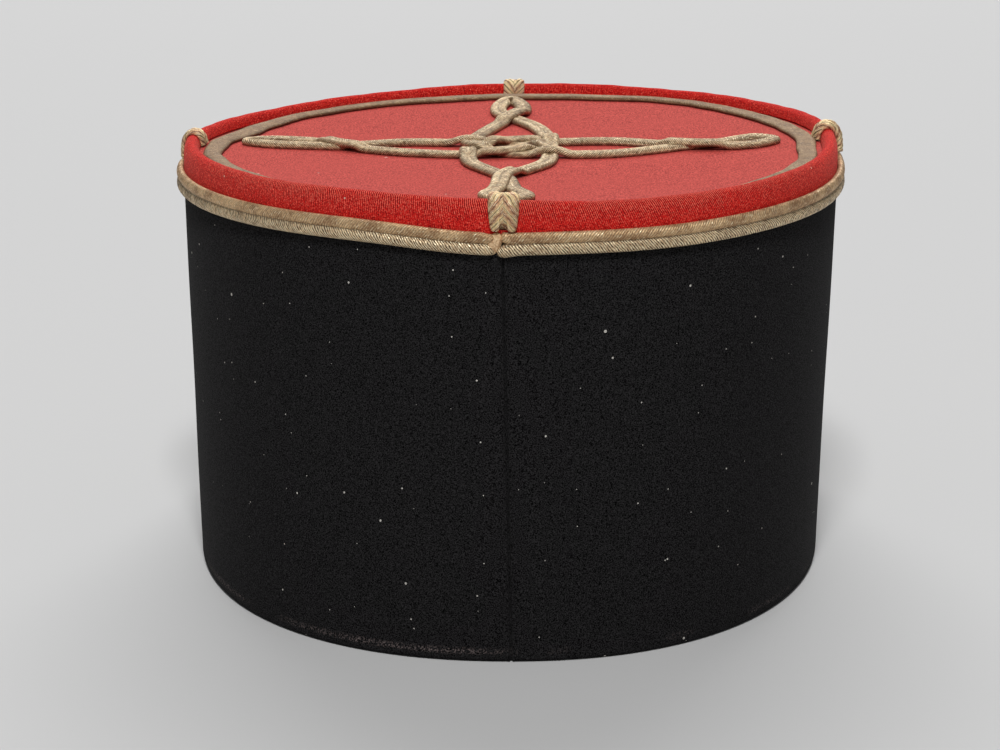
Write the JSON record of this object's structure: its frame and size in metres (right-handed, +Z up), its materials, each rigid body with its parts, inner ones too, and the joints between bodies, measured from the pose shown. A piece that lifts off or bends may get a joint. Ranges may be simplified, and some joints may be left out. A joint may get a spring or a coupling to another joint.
{
  "type": "kepi",
  "caption": "Soft cloth kepi with an upright wall that leans in at the front, a sunk flat top with a looped soutache knot, wide braid at the join, and a leather peak.",
  "frame": {"origin": "on the surface that the kepi rests on, under the middle of its bounding box", "axes": "+Z up; the peak points along -Y and the back seam faces +Y; +X is the wearer's left"},
  "size_m": [0.176, 0.2478, 0.1196],
  "materials": {
    "black_cloth": "near-black milled wool cloth, matt with a short nap",
    "red_cloth": "saturated red ribbed wool cloth",
    "faded_red_cloth": "red felt faded to a dusty rose",
    "gilt_soutache": "two-cord gilt soutache, tarnished to beige and grey",
    "black_leather": "polished black leather",
    "brass": "plain domed brass, slightly dulled"
  },
  "bodies": {
    "root": {"crown_wall": "black_cloth", "crown_rim": "red_cloth", "crown_top": "faded_red_cloth", "band_braid": "gilt_soutache", "rear_braid": "gilt_soutache", "front_braid": "gilt_soutache", "left_braid": "gilt_soutache", "right_braid": "gilt_soutache", "ring_braid": "gilt_soutache", "knot_braid": "gilt_soutache", "peak": "black_leather", "chin_strap": "black_leather", "button_left": "brass", "button_right": "brass"}
  },
  "joints": []
}
